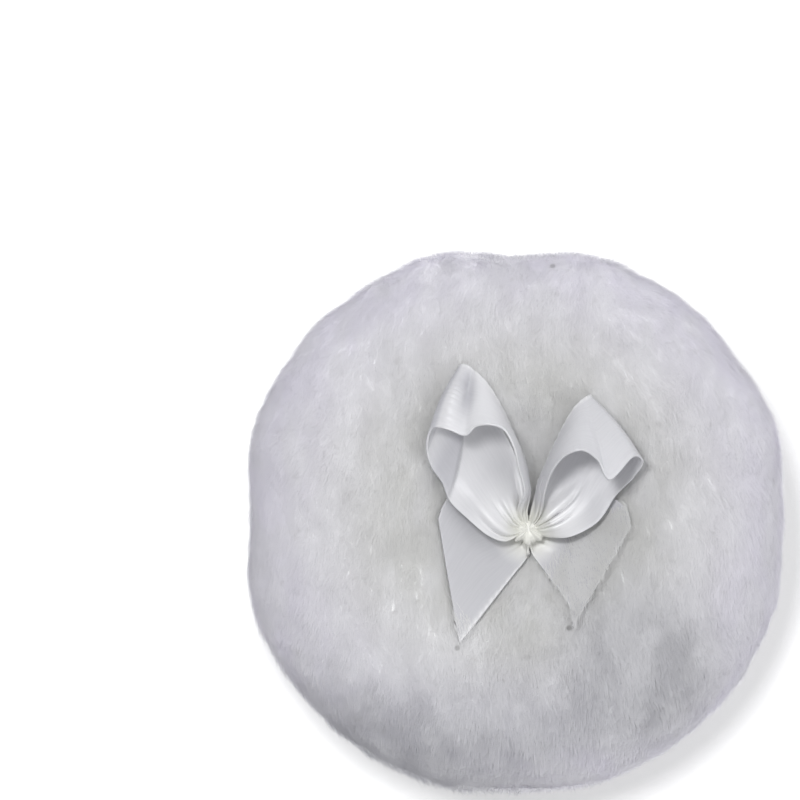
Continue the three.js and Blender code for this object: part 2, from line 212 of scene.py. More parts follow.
# The strands that lie over a tail, from none to all between two distances from the knot
OVER_LEFT_TAIL = (16 * MM, 24 * MM)
OVER_RIGHT_TAIL = (5.5 * MM, 9.5 * MM)
OVER_SHARE = 0.6
OVER_GAP = 0.1 * MM
OVER_PATCH = (3 * MM, 71)
OVER_PATCH_SHARE = 0.25
LEAST_DRAW = 0.001
TAILS_FROM = BOW[1] + 3 * MM
TAIL_HEIGHT = 1.5 * MM

# The photograph's camera, which looks at the puff from in front and high above
CAMERA_ELEVATION = math.radians(80)
CAMERA_DISTANCE = 0.7
CAMERA_CLIP = 0.01
VIEW_WIDTH = 0.13433
AIM = Vector((-0.01931, 0.02046, 0.012))

# The studio's light: a bright dome, brighter behind the puff and to its right, a key lamp and a fill
SKY_LEVEL = 0.64
SKY_GRADIENT = (0.22, 0.15, 0.05)
SKY_COLOUR = (0.98, 0.985, 1.0, 1)
KEY_PLACE = Vector((-0.052, 0.0285, 0.255))
KEY_SIZE = 0.055
KEY_POWER = 0.26
FILL_TOWARDS = Vector((0.6, -0.5, 0.44))
FILL_POWER = 0.48
FILL_ANGLE = math.radians(40)

# The floor, with the shadow that the photograph's floor keeps, where the rest of it was made white
FLOOR_HALF = 1.5
FLOOR_SHADE = 0.8
FLOOR_GLOW = 0.46
# A painted shadow: the floor is darker in a soft circle under the puff, set a little to the right and
# front
SHADOW_PLACE = (0.0035, -0.0016, 0.0)
SHADOW_RADIUS = 46.2 * MM
SHADOW_BLUR = 2.2 * MM
SHADOW_TINT = 0.72

# The plush's colours, as the numbers 0 to 255 that a picture shows
# Painted shade: greyer in the middle, where shade falls in the dimple round the bow
PLUSH_SHADED_MIDDLE = (239, 239, 238)
# Painted light: lighter towards the rim, tinted lavender like the shade there
PLUSH_LIT_RIM = (248, 247, 251)
# Painted shade: greyer at the lower right front, where less light falls
PLUSH_PAINTED_SHADE = (226, 226, 228)
# Painted shade: darker towards the front, except at the rim on the right
PLUSH_FRONT_SHADE = (224, 224, 227)
PLUSH_PATCH = (249, 249, 250)
PLUSH_SPECK = (216, 215, 214)
# Painted shadow under the tails' tips, and a break in the pile near the seam
PLUSH_PARTING_AND_SHADOW = (110, 108, 106)
# Painted shade deep in the pile, at the strands' roots and on the ground between them
PLUSH_ROOT_SHADE = (215, 214, 217)
# Where each of them starts and ends, and the share that it has there
LIT_RIM_RADII = (18 * MM, 45 * MM)
PAINTED_SHADE_PLACE = (0.020, -0.026, 0.026)
PAINTED_SHADE_RADII = (6 * MM, 18 * MM)
PAINTED_SHADE_SHARE = 0.9
FRONT_SHADE_PLACE = (-40 * MM, -20 * MM)
FRONT_SHADE_SHARE = 0.8
FRONT_SHADE_FADE_SIDE = (-15 * MM, 15 * MM)
FRONT_SHADE_FADE_RADII = (37 * MM, 44 * MM)
PATCH_SIZE = 5 * MM
PATCH_STRETCH = (1.0, 0.5, 1.0)
PATCH_SHARE = 0.5
SPECK_SIZE = 1.6 * MM
GRAIN_SIZE = 0.5 * MM
SPECK_SHARE = 0.2
ROOT_SHADE_SHARE = 0.06
GROUND_SHADE_SHARE = 0.1
# Small dark spots in the pile: where each is, its radius and how dark it is. The first two are painted
# shadows under the tips of the tails, the last a break in the pile near the seam
PARTING_AND_SHADOW_SPOTS = [
    (0.0083, -0.0196, 0.0258, 0.6 * MM, 0.35),
    (-0.0100, -0.0231, 0.0273, 0.6 * MM, 0.3),
    (0.0061, 0.0415, 0.0200, 0.7 * MM, 0.3),
]
SPOT_CORE = 0.4
SPOT_HEIGHT_SHARE = 0.1

# The satin's colours, each from its painted shade to its painted light
SATIN_LIGHT = ((207, 207, 212), (249, 249, 250))
SATIN_DARK = ((199, 199, 204), (241, 241, 243))
# A painted highlight along the woven edges
SATIN_SELVEDGE_HIGHLIGHT = (250, 250, 251)
# Painted light on the gathers round the knot: brighter, with a warm tone
SATIN_WARM_LIGHT = (246, 246, 238)
WARM_LIGHT_RADII = (2 * MM, 6.5 * MM)
WARM_LIGHT_SHARE = 0.8
WARP_PITCH = 0.16 * MM
WEFT_PITCH = 0.2 * MM
STREAK_SIZE = 5 * MM
STREAK_STRETCH = (1.0, 14.0, 0.0)

THREAD_COLOURS = ((240, 240, 236), (216, 216, 212))
FIBRE_COLOURS = ((250, 250, 250), (214, 214, 214))
TUFT_SIZE = 2.2 * MM

# Large odd numbers that scatter a cell's place and a seed into even noise
CELL_SCATTER = (73856093, 19349663, 83492791)
SEED_SCATTER = 40503
LAST_SCATTER = 1274126177


def smooth_step(start, end, value):
    t = np.clip((value - start) / (end - start), 0, 1)
    return t * t * (3 - 2 * t)


def unit(vectors):
    return vectors / np.maximum(np.linalg.norm(vectors, axis=-1, keepdims=True), 1e-12)


def noise(points, size, seed):
    """Smooth noise from -1 to 1, whose lumps are about size across."""
    cells = points / size
    base = np.floor(cells).astype(np.int64)
    t = cells - base
    t = t * t * (3 - 2 * t)
    total = np.zeros(points.shape[:-1])
    for corner in np.ndindex(2, 2, 2):
        x, y, z = np.moveaxis((base + corner) * CELL_SCATTER, -1, 0)
        mixed = x ^ y ^ z ^ (seed * SEED_SCATTER)
        mixed = (mixed ^ (mixed >> 13)) * LAST_SCATTER
        value = ((mixed ^ (mixed >> 16)) & 0xFFFF) / 32767.5 - 1
        total += value * np.prod(np.where(corner, t, 1 - t), axis=-1)
    return total


# Meshes


def mesh_object(name, points, faces, material):
    """A smooth mesh object from points and faces that all have as many corners."""
    mesh = bpy.data.meshes.new(name)
    mesh.vertices.add(len(points))
    mesh.vertices.foreach_set("co", points.astype(np.float32).ravel())
    mesh.loops.add(faces.size)
    mesh.loops.foreach_set("vertex_index", faces.astype(np.int32).ravel())
    mesh.polygons.add(len(faces))
    mesh.polygons.foreach_set("loop_start", np.arange(0, faces.size, faces.shape[1], dtype=np.int32))
    mesh.polygons.foreach_set("use_smooth", np.ones(len(faces), bool))
    mesh.update(calc_edges=True)
    mesh.materials.append(material)
    return place_object(name, mesh)


def place_object(name, data):
    piece = bpy.data.objects.new(name, data)
    bpy.context.scene.collection.objects.link(piece)
    return piece


def put_attribute(mesh, name, values):
    """Gives each point of a mesh a number, or three."""
    kind, field = ("FLOAT_VECTOR", "vector") if values.ndim == 2 else ("FLOAT", "value")
    attribute = mesh.attributes.new(name, kind, "POINT")
    attribute.data.foreach_set(field, values.astype(np.float32).ravel())


def quads(rows, columns, closed_rows=False, closed_columns=False):
    """Four-cornered faces over a grid of points, numbered row by row."""
    i, j = np.meshgrid(
        np.arange(rows if closed_rows else rows - 1),
        np.arange(columns if closed_columns else columns - 1),
        indexing="ij",
    )
    k, m = (i + 1) % rows, (j + 1) % columns
    corners = [i * columns + j, k * columns + j, k * columns + m, i * columns + m]
    return np.stack(corners, axis=-1).reshape(-1, 4)


def distances_along(line):
    """How far along the line each of its points is."""
    steps = np.linalg.norm(np.diff(line, axis=0), axis=1)
    return np.concatenate([[0], np.cumsum(steps)])


def spread_evenly(line, count):
    """The same line with its points an even distance apart."""
    along = distances_along(line)
    wanted = np.linspace(0, along[-1], count)
    return np.stack([np.interp(wanted, along, values) for values in line.T], axis=1)


def grid_normals(grid, closed_columns=False):
    along = np.gradient(grid, axis=0)
    if closed_columns:
        across = np.roll(grid, -1, axis=1) - np.roll(grid, 1, axis=1)
    else:
        across = np.gradient(grid, axis=1)
    return unit(np.cross(along, across))


# The puff's shape


def turned(line, turns):
    """A grid of places all round the puff, one row for each point of the line.

    Its outline is as in the part's source, and drifts a little.
    """
    radius, turn = line[:, :1], np.linspace(0, 2 * np.pi, turns, endpoint=False)[None, :]
    outward = smooth_step(ROUND_RADIUS, HALF_ACROSS, radius)
    turn_from_side = np.arcsin(np.abs(np.sin(2 * turn)).clip(0, 1)) / 2
    drift = OUTLINE_DRIFT[0] * np.cos(turn) + OUTLINE_DRIFT[1] * np.sin(turn)
    corner = (CORNER_FULLNESS + drift) * smooth_step(0, FLAT_TURN, turn_from_side)
    outline = HALF_ACROSS + (HALF_FRONT_TO_BACK - HALF_ACROSS) * np.sin(turn) ** 2 + corner
    reach = radius * (1 + outward * (outline / HALF_ACROSS - 1))
    x = BOW[0] * (1 - outward) + reach * np.cos(turn)
    y = BOW[1] * (1 - outward) + reach * np.sin(turn)
    return np.stack([x, y, np.broadcast_to(line[:, 1:], x.shape)], axis=-1)


def dimple_surface(radius):
    """How high the upper side is in the dimple round the bow."""
    t = np.minimum(radius / CROWN_RADIUS, 1)
    return DIMPLE_HEIGHT + (CROWN_HEIGHT - DIMPLE_HEIGHT) * (1 - np.cos(np.pi * t)) / 2


def shoulder(radius, height):
    """The line from a radius out to the seam, rounded like a quarter of a soft square."""
    angle = np.linspace(1, 0, SHOULDER_STEPS) * np.pi / 2
    power = 2 / SHOULDER_POWER
    across = radius + (HALF_ACROSS - radius) * np.cos(angle).clip(0) ** power
    return np.stack([across, RIM_HEIGHT + height * np.sin(angle) ** power], axis=1)


def cover_line(side, rows):
    """One side of the puff from its middle out to the seam, as radius and height."""
    if side > 0:
        inner = np.linspace(HOLE_RADIUS, CROWN_RADIUS, DIMPLE_STEPS)
        dimple = dimple_surface(inner)
        outer = shoulder(CROWN_RADIUS, CROWN_HEIGHT - RIM_HEIGHT)[1:]
    else:
        inner = np.linspace(HOLE_RADIUS, BACK_DIMPLE_RADIUS, BACK_DIMPLE_STEPS)
        t = (inner - HOLE_RADIUS) / (BACK_DIMPLE_RADIUS - HOLE_RADIUS)
        dimple = BACK_DIMPLE_DEPTH * (1 + np.cos(np.pi * t)) / 2
        outer = shoulder(REST_RADIUS, -RIM_HEIGHT)
    return spread_evenly(np.concatenate([np.stack([inner, dimple], axis=1), outer]), rows)


def inset(line, distance, side):
    """The line moved inward by a distance, which may differ from point to point."""
    along = unit(np.gradient(line, axis=0))
    inward = np.stack([along[:, 1], -along[:, 0]], axis=1) * side
    moved = line + inward * np.reshape(distance, (-1, 1))
    moved[:, 0] = moved[:, 0].clip(HOLE_RADIUS)
    return moved


# The plush


def skin_grid(line, side, turns):
    """The ground that the pile stands in, set in from the puff's surface, and its normals."""
    seam = 1 - smooth_step(0, SEAM_GROOVE_WIDTH, np.abs(line[:, 1] - RIM_HEIGHT))
    ground = turned(inset(line, PILE_HEIGHT + SEAM_GROOVE_DEPTH * seam, side), turns)
    normals = grid_normals(ground, closed_columns=True)
    facing = 1 if normals[len(line) // 2, 0, 2] * side > 0 else -1
    away = np.hypot(ground[..., 0] - BOW[0], ground[..., 1] - BOW[1])
    height = LUMP_HEIGHT * (LEVEL_SHARE + (1 - LEVEL_SHARE) * smooth_step(*LEVEL_GROUND, away))
    lumps = sum(share * noise(ground, size, seed) for size, seed, share in LUMPS)
    ground = ground + normals * facing * (height * lumps)[..., None]
    return ground, grid_normals(ground, closed_columns=True) * facing


def cover(name, line, side, material):
    """One plush cover as a closed shell: its lumpy ground outside and its smooth backing inside."""
    outer, _ = skin_grid(line, side, COVER_TURNS)
    inner = turned(inset(line, COVER_THICKNESS, side), COVER_TURNS)[::-1]
    ring = np.concatenate([outer, inner])
    faces = quads(len(ring), COVER_TURNS, closed_rows=True, closed_columns=True)
    if side > 0:
        faces = faces[:, ::-1]
    return mesh_object(name, ring.reshape(-1, 3), faces, material)


def strand_roots(ground, normals, count, random):
    """Places spread evenly over the ground, with the ground's normals there."""
    columns = ground.shape[1]
    beside = np.roll(ground, -1, axis=1)
    cells = np.linalg.norm(np.cross(ground[1:] - ground[:-1], beside[:-1] - ground[:-1]), axis=-1)
    reach = np.cumsum(cells.ravel())
    cell = np.searchsorted(reach, random.random(count) * reach[-1])
    i, j = cell // columns, cell % columns
    k = (j + 1) % columns
    u, v = random.random((2, count, 1))

    def between(grid):
        upper = grid[i, j] * (1 - v) + grid[i, k] * v
        lower = grid[i + 1, j] * (1 - v) + grid[i + 1, k] * v
        return upper * (1 - u) + lower * u

    return between(ground), unit(between(normals))


def nap(points, normals, random):
    """Which way the pile lies at each place: the cloth's own nap, with waves where it was touched."""
    x, y = points[:, 0], points[:, 1]
    outward = np.stack([x, y, -NAP_DOWN * np.hypot(x, y)], axis=1) / HALF_ACROSS
    waves = 0
    for size, seed, strength in NAP_WAVES:
        waves += strength * np.stack([noise(points, size, seed + axis) for axis in range(3)], axis=-1)
    lay = NAP + waves + NAP_OUTWARD * outward + random.normal(0, NAP_SPREAD, points.shape)
    return unit(lay - normals * np.sum(lay * normals, axis=1, keepdims=True))


def under_ribbons(roots, middles, high, ribbons, random):
    """How much of each strand's height is left under a ribbon and how far it is pressed down there.

    Also the strands that lie over a tail as well, and how far up they are.
    """
    share = np.ones(len(roots))
    lift = np.zeros(len(roots))
    over = []
    near = np.flatnonzero(np.hypot(roots[:, 0] - BOW[0], roots[:, 1] - BOW[1]) < RIBBONS_REACH)
    draw = (random.random(len(roots)) + OVER_PATCH_SHARE * noise(roots, *OVER_PATCH)).clip(LEAST_DRAW)
    for n in near:
        below = Vector(middles[n]) - Vector((0, 0, LOOK_BELOW))
        place, _, _, distance = ribbons.ray_cast(below, Vector((0, 0, 1)), LOOK_LENGTH)
        if distance is None:
            continue
        distance -= LOOK_BELOW
        room = distance - PRESSED_GAP
        share[n] = min(1, max(room, PRESSED_HEIGHT) / max(high[n], 1e-6))
        lift[n] = min(0, room - PRESSED_HEIGHT)
        start, end = OVER_RIGHT_TAIL if place.x > BOW[0] else OVER_LEFT_TAIL
        away = math.hypot(place.x - BOW[0], place.y - BOW[1])
        on_tail = place.y < TAILS_FROM and distance < TAIL_HEIGHT
        if on_tail and draw[n] < smooth_step(start, end, away):
            over.append((n, distance + RIBBON_THICKNESS + OVER_GAP))
    return share, lift, over


def pile(name, line, side, count, seed, material, ribbons):
    """The strands of one cover's pile, in a few sectors that each make one piece.

    The strands that lie over a tail make pieces paired with that tail's name. The pieces come with their
    bodies.
    """
    random = np.random.default_rng(seed)
    ground, ground_normals = skin_grid(line, side, GROUND_TURNS)
    roots, normals = strand_roots(ground, ground_normals, count, random)
    lay = nap(roots, normals, random)
    length = STRAND_LENGTH * (1 + random.normal(0, LENGTH_SPREAD, count)).clip(*LENGTH_LIMITS)
    rise = np.radians(random.normal(RISE, RISE_SPREAD, count)).clip(*RISE_LIMITS)
    tip_rise = rise * random.uniform(*TIP_RISE, count)
    first = 0.5 * length * np.sin(rise)
    second = first + 0.5 * length * np.sin(tip_rise)
    along_first = 0.5 * length * np.cos(rise)
    along_second = along_first + 0.5 * length * np.cos(tip_rise)
    share, lift, over = np.ones(count), np.zeros(count), []
    if side > 0:
        middles = roots + lay * along_first[:, None]
        share, lift, over = under_ribbons(roots, middles, second, ribbons, random)
    thickness = 1 + random.normal(0, WIDTH_SPREAD, count)

    # The strands over a tail come after the others, and are copies of those that are pressed under it
    turn = np.arctan2(roots[:, 1], roots[:, 0]) % (2 * np.pi)
    group = (turn / (2 * np.pi) * SECTORS).astype(int) % SECTORS
    above = np.array([n for n, _ in over], int)
    group = np.concatenate([group, np.where(roots[above, 0] < BOW[0], SECTORS, SECTORS + 1)])
    strand = np.concatenate([np.arange(count), above])
    share = np.concatenate([share, np.full(len(above), OVER_SHARE)])
    lift = np.concatenate([lift, [height for _, height in over]])
    roots, normals, lay, thickness = roots[strand], normals[strand], lay[strand], thickness[strand]
    first, second = first[strand] * share, second[strand] * share
    along_first, along_second = along_first[strand], along_second[strand]

    roots = roots + np.stack([0 * lift, 0 * lift, lift], axis=1)
    sunk = roots - normals * ROOT_DEPTH
    middle = sunk + lay * along_first[:, None] + normals * first[:, None]
    tip = sunk + lay * along_second[:, None] + normals * second[:, None]
    wide = unit(np.cross(lay, normals))
    half = (STRAND_WIDTH / 2 * thickness)[:, None] * wide
    inner, outer = middle - MIDDLE_WIDTH * half, middle + MIDDLE_WIDTH * half
    points = np.stack([sunk - half, sunk + half, inner, outer, tip], axis=1)
    points[..., 2] = points[..., 2].clip(FLOOR_GAP)
    left, right = unit(normals - STRAND_ROUND * wide), unit(normals + STRAND_ROUND * wide)
    shading = np.stack([left, right, left, right, normals], axis=1)
    groups = [(f"{name}_{n + 1}", "puff") for n in range(SECTORS)]
    if over:
        groups += [("left_tail_fluff", "left_tail"), ("right_tail_fluff", "right_tail")]
    return [
        (strand_piece(piece_name, points[group == n], shading[group == n], material), body)
        for n, (piece_name, body) in enumerate(groups)
    ]


def strand_piece(name, points, shading, material):
    """Many strands as one piece, each with two points at its root, two at its middle and its tip."""
    start = 5 * np.arange(len(points))[:, None, None]
    faces = start + np.array([[0, 1, 3], [0, 3, 2], [2, 3, 4]])
    piece = mesh_object(name, points.reshape(-1, 3), faces.reshape(-1, 3), material)
    piece.data.normals_split_custom_set_from_vertices(shading.reshape(-1, 3))
    put_attribute(piece.data, "along", np.tile([0.0, 0.0, 0.5, 0.5, 1.0], len(points)))
    return piece


# The ribbon: each row is one line across it, from the knot on, as along, across and up for the far
# edge, then for the near edge. Along is a share of the reach, across of the width, up of the rise.
RIGHT_LOOP_SHARES = [
    (0.03, -0.02, 0.02, 0.03, 0.02, 0.04),
    (0.14, -0.11, 0.09, 0.13, 0.01, 0.13),
    (0.30, -0.23, 0.19, 0.29, -0.12, 0.46),
    (0.44, -0.29, 0.34, 0.41, -0.17, 0.74),
    (0.62, -0.36, 0.45, 0.53, -0.15, 0.92),
    (0.78, -0.41, 0.52, 0.63, -0.04, 0.98),
    (0.92, -0.43, 0.55, 0.65, 0.15, 0.93),
    (0.99, -0.42, 0.54, 0.59, 0.38, 0.93),
    (1.03, -0.40, 0.48, 0.85, 0.42, 0.86),
    (1.01, -0.39, 0.39, 0.88, 0.52, 0.66),
    (0.83, -0.37, 0.32, 0.76, 0.54, 0.45),
    (0.61, -0.30, 0.23, 0.60, 0.51, 0.27),
    (0.41, -0.22, 0.14, 0.36, 0.54, 0.15),
    (0.24, -0.15, 0.10, 0.14, 0.40, 0.09),
    (0.15, -0.07, 0.06, 0.06, 0.25, 0.04),
    (0.02, -0.01, 0.02, 0.01, 0.05, 0.01),
]
LEFT_LOOP_SHARES = [
    (0.03, -0.02, 0.02, 0.03, 0.02, 0.04),
    (0.12, -0.09, 0.09, 0.11, 0.01, 0.13),
    (0.21, -0.21, 0.19, 0.19, -0.13, 0.45),
    (0.31, -0.29, 0.32, 0.33, -0.19, 0.70),
    (0.44, -0.33, 0.44, 0.45, -0.24, 0.91),
    (0.57, -0.35, 0.52, 0.57, -0.23, 0.99),
    (0.72, -0.37, 0.58, 0.63, -0.13, 1.01),
    (0.88, -0.37, 0.59, 0.67, 0.01, 0.94),
    (0.99, -0.34, 0.58, 0.66, 0.15, 0.86),
    (1.05, -0.31, 0.54, 0.74, 0.27, 0.84),
    (1.09, -0.23, 0.47, 0.81, 0.41, 0.73),
    (1.06, -0.22, 0.40, 0.74, 0.55, 0.59),
    (0.90, -0.26, 0.35, 0.62, 0.61, 0.42),
    (0.72, -0.28, 0.28, 0.51, 0.59, 0.31),
    (0.51, -0.29, 0.21, 0.39, 0.61, 0.22),
    (0.32, -0.23, 0.13, 0.25, 0.54, 0.16),
    (0.18, -0.12, 0.09, 0.08, 0.42, 0.10),
    (0.13, -0.04, 0.06, 0.01, 0.29, 0.05),
    (0.02, -0.01, 0.02, 0.01, 0.05, 0.01),
]
# The tails lie on the plush, and their far edges run under the loops, so their ups are low.
LEFT_TAIL_SHARES = [
    (0.00, 0.03, 0.04, 0.02, -0.03, 0.04),
    (-0.02, 0.12, -0.05, 0.09, -0.09, -0.05),
    (-0.05, 0.28, -0.17, 0.16, -0.15, -0.17),
    (-0.04, 0.48, -0.17, 0.30, -0.14, -0.17),
    (-0.03, 0.67, -0.17, 0.45, -0.13, -0.17),
    (0.05, 0.88, -0.17, 0.62, -0.12, -0.17),
    (0.18, 0.92, -0.17, 0.80, -0.11, -0.17),
    (0.31, 0.88, -0.17, 1.00, -0.09, -0.09),
]
RIGHT_TAIL_SHARES = [
    (0.00, 0.03, 0.04, 0.02, -0.03, 0.04),
    (-0.05, 0.10, -0.05, 0.10, -0.05, -0.05),
    (-0.12, 0.21, -0.17, 0.19, -0.05, -0.17),
    (-0.13, 0.57, -0.17, 0.34, -0.01, -0.17),
    (-0.06, 0.87, -0.17, 0.48, 0.03, -0.17),
    (0.06, 1.02, -0.17, 0.65, 0.08, -0.17),
    (0.19, 1.07, -0.17, 0.82, 0.10, -0.17),
    (0.32, 1.04, -0.17, 0.98, 0.045, -0.09),
]

# Dents and ridges of the loops: row and across where each is deepest, how many rows and how much of
# the width it spreads, and how far it stands out.
LEFT_LOOP_DENTS = [
    (8.4, 0.40, 0.60, 0.32, -1.1 * MM),
    (8.9, 0.22, 0.60, 0.22, -0.7 * MM),
    (9.35, 0.50, 0.40, 0.45, 0.55 * MM),
]
RIGHT_LOOP_DENTS = [(5.6, 0.35, 0.70, 0.30, 0.3 * MM)]

# Each stretch: the way it points in degrees from +X, the side that its across counts from, its reach,
# how many rows its mesh has and the seed of its pleats' places. A stretch with dents is a loop.
STRETCHES = {
    "left_loop": dict(
        shares=LEFT_LOOP_SHARES, angle=120, side=-1, reach=26 * MM, rows=300, seed=3,
        dents=LEFT_LOOP_DENTS, leaf=True,
    ),
    "right_loop": dict(
        shares=RIGHT_LOOP_SHARES, angle=50, side=1, reach=22 * MM, rows=280, seed=5,
        dents=RIGHT_LOOP_DENTS,
    ),
    "left_tail": dict(shares=LEFT_TAIL_SHARES, angle=236, side=1, reach=22.5 * MM, rows=170, seed=7),
    "right_tail": dict(shares=RIGHT_TAIL_SHARES, angle=291, side=-1, reach=18.3 * MM, rows=150, seed=9),
}

# Painted light and shade of the satin on its two sides, from 0 to 1, lighter inside the loops and darker
# on the tails, which also sets its gloss, and how much its far and near edge stand out in bead and painted
# highlight
SIDE_GLOSS_AND_PAINTED_LIGHT = dict(left_loop=(0.74, 1), right_loop=(0.95, 0.5), left_tail=(0.28, 0.28), right_tail=(0.2, 0.2))
SELVEDGES = dict(left_loop=(0.7, 0.3), right_loop=(1, 0.3), left_tail=(0.3, 1.6), right_tail=(0, 0.4))

# Painted shade on a loop's lighter side far from the knot, and painted light on a tail near it
FAR_PAINTED_SHADE = {"left_loop": 0.38, "right_loop": 0.6}
FAR_PAINTED_SHADE_REACH = (6.5 * MM, 12 * MM)
PAINTED_LIGHT_LEVEL = 0.9
TAIL_PAINTED_LIGHT = 0.8
TAIL_PAINTED_LIGHT_REACH = (3 * MM, 9 * MM)
# Painted shade on the left loop's end, where it turns down, between these rows
LEFT_END_SHADE_ROWS = (9.5, 9.85)


def curve_through(points, shares):
    """Places on a smooth curve through the points, for shares from 0 to 1 of its stretches."""
    padded = np.concatenate([[2 * points[0] - points[1]], points, [2 * points[-1] - points[-2]]])
    place = shares * (len(points) - 1)
    start = np.minimum(place.astype(int), len(points) - 2)
    t = (place - start)[:, None]
    a, b, c, d = (padded[start + n] for n in range(4))
    first, second, third = (
        np.sqrt(np.linalg.norm(q - p, axis=1, keepdims=True)).clip(1e-6)
        for p, q in ((a, b), (b, c), (c, d))
    )
    leaving = ((b - a) / first - (c - a) / (first + second) + (c - b) / second) * second
    arriving = ((c - b) / second - (d - b) / (second + third) + (d - c) / third) * second
    square = -3 * b + 3 * c - 2 * leaving - arriving
    cube = 2 * b - 2 * c + leaving + arriving
    return b + leaving * t + square * t**2 + cube * t**3


def bow_places(shares, angle, side, reach):
    """The points of a ribbon's far and near edge, from rows of shares."""
    edges = np.array(shares).reshape(-1, 2, 3)
    ahead = np.array([math.cos(angle), math.sin(angle), 0])
    beside = np.array([math.sin(angle), -math.cos(angle), 0]) * side * RIBBON_WIDTH
    up = np.array([0, 0, LOOP_RISE])
    return BOW + edges[..., :1] * reach * ahead + edges[..., 1:2] * beside + edges[..., 2:] * up


def lie_on_plush(grid, clearance):
    """The ribbon lifted where it would be deeper in the plush than the clearance lets it."""
    radius = np.hypot(grid[..., 0] - BOW[0], grid[..., 1] - BOW[1])
    lowest = dimple_surface(radius) + clearance + RIBBON_THICKNESS / 2
    above = grid[..., 2] - lowest
    grid[..., 2] = lowest + (above + np.hypot(above, REST_BLEND)) / 2
    return grid


def pleats(across, distance, depth, seed):
    """Gathers that radiate from the knot and fade out along the ribbon, sharp on their ridges."""
    random = np.random.default_rng(seed)
    warp = across + PLEAT_WARP * np.sin(2 * np.pi * across * 2 + random.uniform(0, 6))
    ridge = np.abs(np.sin(np.pi * (PLEATS * warp + random.uniform(0, 1))))
    fold = 1 - 2 * ridge ** PLEAT_SHARPNESS
    fold += FINE_PLEAT_SHARE * np.cos(2 * np.pi * PLEATS * FINE_PLEATS * warp + random.uniform(0, 6))
    rise = PLEAT_START + (1 - PLEAT_START) * smooth_step(*PLEAT_RISE, distance)
    fade = 1 - smooth_step(*PLEAT_FADE, distance * (1 + 0.25 * np.cos(9 * across + seed)))
    return depth * fold * rise * fade


def nearness(row, across, middle, place, row_spread, spread):
    """How near each place of a ribbon is to the middle of a dent, from 0 to 1."""
    beyond = ((row[:, None] - middle) / row_spread) ** 2 + ((across[None, :] - place) / spread) ** 2
    return np.exp(-beyond)


def dented(grid, outward, row, across, dents):
    """The ribbon with its dents and ridges, and fine wrinkles across each high ridge."""
    turns = across / WRINKLE_PITCH + WRINKLE_WANDER * np.sin(WRINKLE_WAVES * across)
    wrinkle = WRINKLE_HEIGHT * np.cos(2 * np.pi * turns)[None, :]
    for *place, rise in dents:
        height = rise + wrinkle * (rise > WRINKLED_RISE)
        grid = grid + outward * (height * nearness(row, across, *place))[..., None]
    return grid


def dent_shade(row, across, dents):
    """How far inside a dent each place is, from 0 to 1."""
    shade = np.zeros((len(row), len(across)))
    for *place, rise in dents:
        shade = np.maximum(shade, (rise < 0) * nearness(row, across, *place))
    return shade


def lobe_profile(across):
    """How high the lower layer billows across its width: its near edge stays up."""
    billow = np.sin(np.pi / 2 * np.minimum(across / LOBE_PEAK, 1)) ** LOBE_POWER
    return billow - LOBE_DROP * smooth_step(*LOBE_DROP_PLACE, across)


def leaf_side(row, across):
    """Where the outer side of the left loop's lower layer stands up like a leaf, from 0 to 1."""
    (start_row, start_across), (end_row, end_across) = LEAF_FOLD
    along = (row - start_row) / (end_row - start_row)
    fold = start_across + (end_across - start_across) * along
    beyond = smooth_step(-LEAF_BLEND, LEAF_BLEND, across[None, :] - fold[:, None])
    begun = smooth_step(start_row - LEAF_START_ROWS, start_row, row)
    ended = smooth_step(end_row - LEAF_END_ROWS[0], end_row + LEAF_END_ROWS[1], row)
    return beyond * (begun * (1 - ended))[:, None]


def ribbon_grid(shares, angle, side, reach, rows, seed, dents=(), leaf=False):
    """The places of a stretch of ribbon, from the knot on in rows and across it in columns."""
    edges = bow_places(shares, math.radians(angle), side, reach)
    steps, across = np.linspace(0, 1, rows), np.linspace(0, 1, RIBBON_COLUMNS)
    row = steps * (len(shares) - 1)
    a, b = curve_through(edges[:, 0], steps), curve_through(edges[:, 1], steps)
    grid = a[:, None] * (1 - across)[None, :, None] + b[:, None] * across[None, :, None]
    width = np.linalg.norm(b - a, axis=1)[:, None] / RIBBON_WIDTH
    outward = grid_normals(grid) * (-side)
    if dents:
        grid = grid + outward * (RIBBON_BULGE * width * np.sin(np.pi * across))[..., None]
        grid = dented(grid, outward, row, across, dents)
        billow = smooth_step(*LOBE_START, steps) * (1 - smooth_step(*LOBE_END, steps))
        grid[..., 2] += LOBE_RISE * billow[:, None] * lobe_profile(across)[None, :]
    if leaf:
        grid[..., 2] += LEAF_RISE * leaf_side(row, across)
    distance = np.linalg.norm(grid - BOW, axis=-1)
    depth = LOOP_PLEAT_DEPTH if dents else TAIL_PLEAT_DEPTH
    grid = grid + outward * pleats(across[None, :], distance, depth, seed)[..., None]
    return lie_on_plush(grid, CLEARANCE if dents else TAIL_CLEARANCE)


